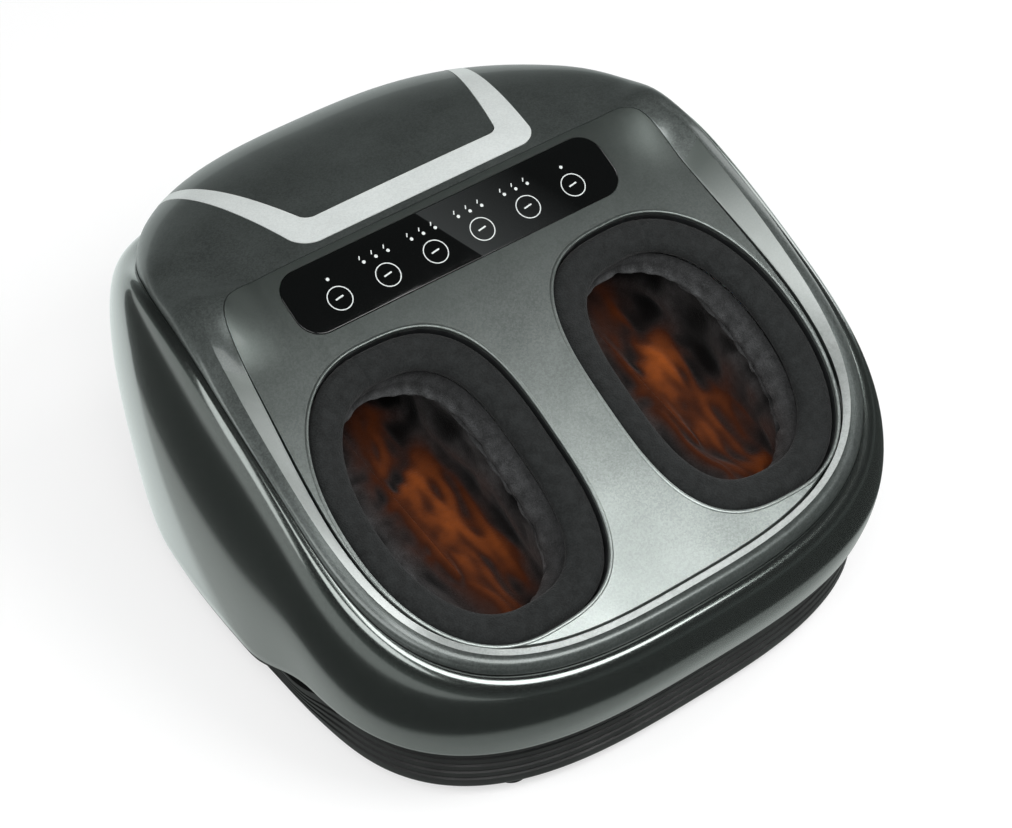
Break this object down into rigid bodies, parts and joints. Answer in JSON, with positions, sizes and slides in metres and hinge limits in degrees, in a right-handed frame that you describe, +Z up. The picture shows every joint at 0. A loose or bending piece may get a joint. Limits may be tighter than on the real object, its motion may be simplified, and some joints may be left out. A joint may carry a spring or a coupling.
{
  "type": "foot massager",
  "caption": "Sloping foot massager with padded foot openings, fabric-lined chambers, geared kneading discs, side air cushions and a touch panel on the deck.",
  "frame": {"origin": "on the floor under the middle of the object's box", "axes": "+X to the user's right, -Y towards the user's heels, +Z up"},
  "size_m": [0.4032, 0.455, 0.2282],
  "materials": {
    "gunmetal_gloss": "glossy gunmetal lacquer on moulded plastic",
    "cover_metallic": "satin dark metallic lacquer with a fine grain",
    "plate_metallic": "silver grey metallic lacquer with a fine grain",
    "stripe_silver": "satin silver lacquer",
    "panel_black": "polished black",
    "base_black": "fine moulded texture",
    "foot_rubber": "matt",
    "tub_plastic": "moulded",
    "collar_fabric": "knitted fabric over foam",
    "liner_fabric": "thin stretch fabric, lit orange by the heat lamp",
    "wheel_nylon": "natural nylon",
    "head_plastic": "moulded",
    "steel": "ground",
    "worm_brass": "cut",
    "chassis_steel": "zinc plated",
    "airbag_vinyl": "welded film",
    "board_green": "solder mask",
    "lamp_orange": "translucent",
    "hose_silicone": "translucent"
  },
  "bodies": {
    "case": {"base_tray": "base_black", "front_left_foot": "foot_rubber", "front_right_foot": "foot_rubber", "middle_left_foot": "foot_rubber", "middle_right_foot": "foot_rubber", "rear_left_foot": "foot_rubber", "rear_right_foot": "foot_rubber", "flank_shell": "gunmetal_gloss", "top_cover": "cover_metallic", "stripe_trim": "stripe_silver", "rear_cap": "cover_metallic", "face_plate": "plate_metallic", "control_lens": "panel_black", "touch_board": "board_green", "left_foot_well": "tub_plastic", "right_foot_well": "tub_plastic", "left_collar": "collar_fabric", "right_collar": "collar_fabric", "left_liner": "liner_fabric", "right_liner": "liner_fabric", "left_sole_plate": "tub_plastic", "right_sole_plate": "tub_plastic", "left_heat_lamp": "lamp_orange", "right_heat_lamp": "lamp_orange", "left_inner_airbag": "airbag_vinyl", "left_outer_airbag": "airbag_vinyl", "right_inner_airbag": "airbag_vinyl", "right_outer_airbag": "airbag_vinyl", "gear_chassis": "chassis_steel", "left_ball_axle": "steel", "left_arch_axle": "steel", "right_ball_axle": "steel", "right_arch_axle": "steel", "left_bearing_block": "chassis_steel", "right_bearing_block": "chassis_steel", "kneading_motor": "steel", "motor_mount": "chassis_steel", "air_pump": "tub_plastic", "valve_block": "tub_plastic", "pump_hose": "hose_silicone", "left_air_hose": "hose_silicone", "right_air_hose": "hose_silicone", "power_board": "board_green", "power_inlet": "base_black"},
    "left_ball_kneader": {"left_ball_wheel": "wheel_nylon", "left_ball_disc": "head_plastic"},
    "left_arch_kneader": {"left_arch_wheel": "wheel_nylon", "left_arch_disc": "head_plastic"},
    "right_ball_kneader": {"right_ball_wheel": "wheel_nylon", "right_ball_disc": "head_plastic"},
    "right_arch_kneader": {"right_arch_wheel": "wheel_nylon", "right_arch_disc": "head_plastic"},
    "worm_shaft": {"cross_shaft": "steel", "left_worm": "worm_brass", "right_worm": "worm_brass"}
  },
  "joints": [
    {"name": "left_ball_spin", "type": "hinge", "parent": "case", "child": "left_ball_kneader", "pos_m": [-0.0925, 0.0087, 0.0807], "axis": [0, -0.1616, 0.9869], "continuous": true},
    {"name": "left_arch_spin", "type": "hinge", "parent": "case", "child": "left_arch_kneader", "pos_m": [-0.0925, -0.08011, 0.06616], "axis": [0, -0.1616, 0.9869], "continuous": true},
    {"name": "right_ball_spin", "type": "hinge", "parent": "case", "child": "right_ball_kneader", "pos_m": [0.0925, 0.0087, 0.0807], "axis": [0, -0.1616, 0.9869], "continuous": true},
    {"name": "right_arch_spin", "type": "hinge", "parent": "case", "child": "right_arch_kneader", "pos_m": [0.0925, -0.08011, 0.06616], "axis": [0, -0.1616, 0.9869], "continuous": true},
    {"name": "shaft_spin", "type": "hinge", "parent": "case", "child": "worm_shaft", "pos_m": [0, 0.06604, 0.0678], "axis": [1, 0, 0], "continuous": true}
  ],
  "couplings": [
    {"joint": "left_arch_spin", "follows": "left_ball_spin", "ratio": -1},
    {"joint": "right_ball_spin", "follows": "left_ball_spin", "ratio": -1},
    {"joint": "right_arch_spin", "follows": "left_ball_spin", "ratio": 1},
    {"joint": "shaft_spin", "follows": "left_ball_spin", "ratio": 28}
  ]
}
